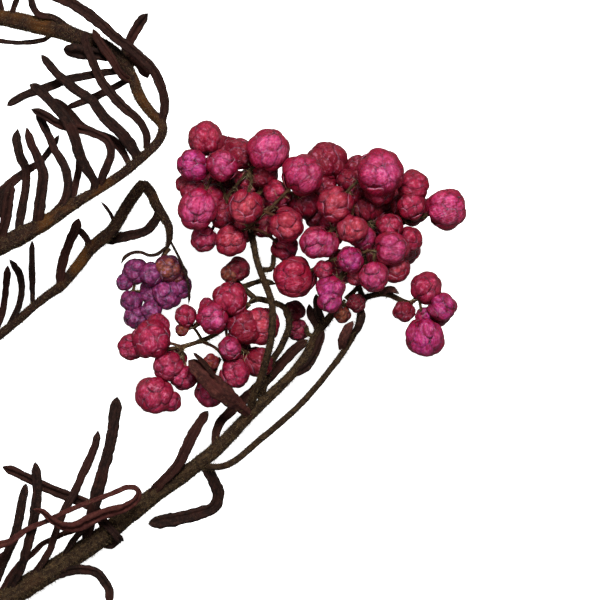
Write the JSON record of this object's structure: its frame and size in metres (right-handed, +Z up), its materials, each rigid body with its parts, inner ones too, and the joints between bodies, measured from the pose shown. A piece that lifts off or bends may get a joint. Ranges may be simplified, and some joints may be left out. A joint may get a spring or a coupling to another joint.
{
  "type": "dried rice flower branch",
  "caption": "Dried flowering branch with clusters of papery round pink buds on woolly brown forked stems and narrow curled leaves, cut and laid flat.",
  "frame": {"origin": "middle of the branch's outline on the surface that it lies on", "axes": "+Z up from the surface, +Y the way the curled shoot rises in the picture, +X towards the flower heads"},
  "size_m": [0.0783, 0.0798, 0.0175],
  "materials": {
    "woolly_stem": "dry, matte and woolly",
    "crimson_bract": "papery satin",
    "purple_bract": "papery satin",
    "withered_bract": "dry matte"
  },
  "bodies": {
    "root": {"main_stem": "woolly_stem", "curled_shoot": "woolly_stem", "budding_shoot": "woolly_stem", "head_left": "crimson_bract", "head_right": "crimson_bract", "head_lower": "crimson_bract", "head_spray": "crimson_bract", "head_purple": "purple_bract", "withered_bud_left": "withered_bract", "withered_bud_middle": "withered_bract", "withered_bud_low": "withered_bract"}
  },
  "joints": []
}
